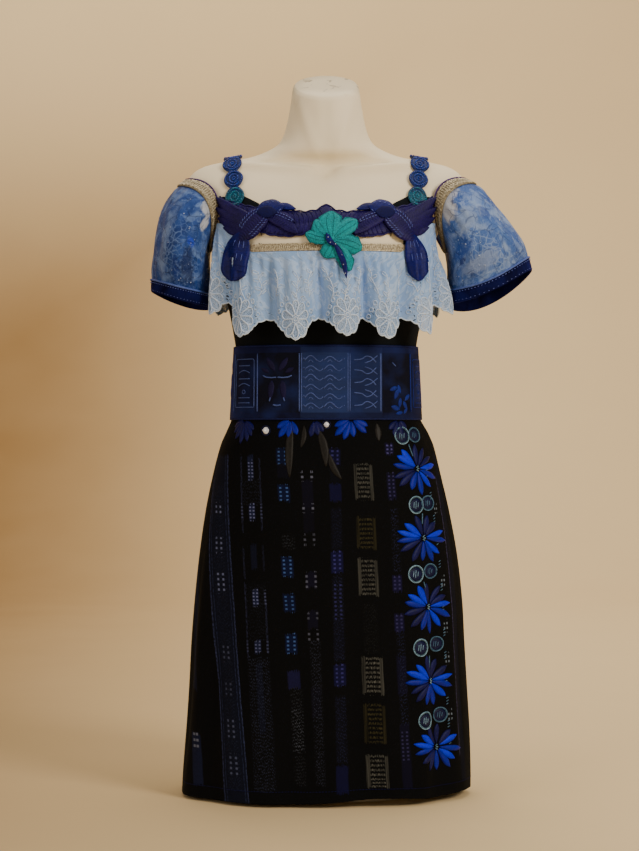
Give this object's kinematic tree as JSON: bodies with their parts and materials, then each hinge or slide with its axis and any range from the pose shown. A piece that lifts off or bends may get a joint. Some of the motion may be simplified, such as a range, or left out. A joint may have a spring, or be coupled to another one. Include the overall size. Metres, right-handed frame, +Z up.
{
  "type": "traditional costume with its limbless dress form",
  "caption": "Highland dress on a limbless form: lace ruffle, puff sleeves, applique birds, woven belt and black ikat skirt.",
  "frame": {"origin": "middle of the form's flat base, on the surface it stands on", "axes": "+Z up along the form, the front faces -Y, +X is the viewer's right"},
  "size_m": [0.5331, 0.285, 1.0078],
  "materials": {
    "form": "smooth cream plastic with a soft sheen",
    "bodice_cloth": "plain black cotton",
    "gold_trim": "braid with metal thread",
    "lace": "pale blue guipure lace with white corded edges",
    "sleeve_cloth": "blue organza with veined flowers and sequins",
    "velvet": "navy velvet",
    "beads": "blue and teal beads and cord",
    "purple_applique": "dark purple satin stitch",
    "indigo_applique": "indigo satin stitch with metal dashes",
    "teal_applique": "teal satin stitch",
    "woven_belt": "brocaded navy belt weave",
    "ikat": "black cotton with tie-dyed blue, violet and grey columns"
  },
  "bodies": {
    "root": {"dress_form": "form", "bodice_front": "bodice_cloth", "bodice_back": "bodice_cloth", "neck_trim_front": "gold_trim", "neck_trim_back": "gold_trim", "ruffle_front": "lace", "ruffle_back": "lace", "sleeve_left": "sleeve_cloth", "sleeve_right": "sleeve_cloth", "sleeve_trim_left": "gold_trim", "sleeve_trim_right": "gold_trim", "cuff_left": "velvet", "cuff_right": "velvet", "strap_left": "beads", "strap_right": "beads", "wing_band": "purple_applique", "bird_left": "indigo_applique", "bird_right": "indigo_applique", "flower": "teal_applique", "flower_stem": "indigo_applique", "belt": "woven_belt", "skirt_front": "ikat", "skirt_back": "ikat"}
  },
  "joints": []
}
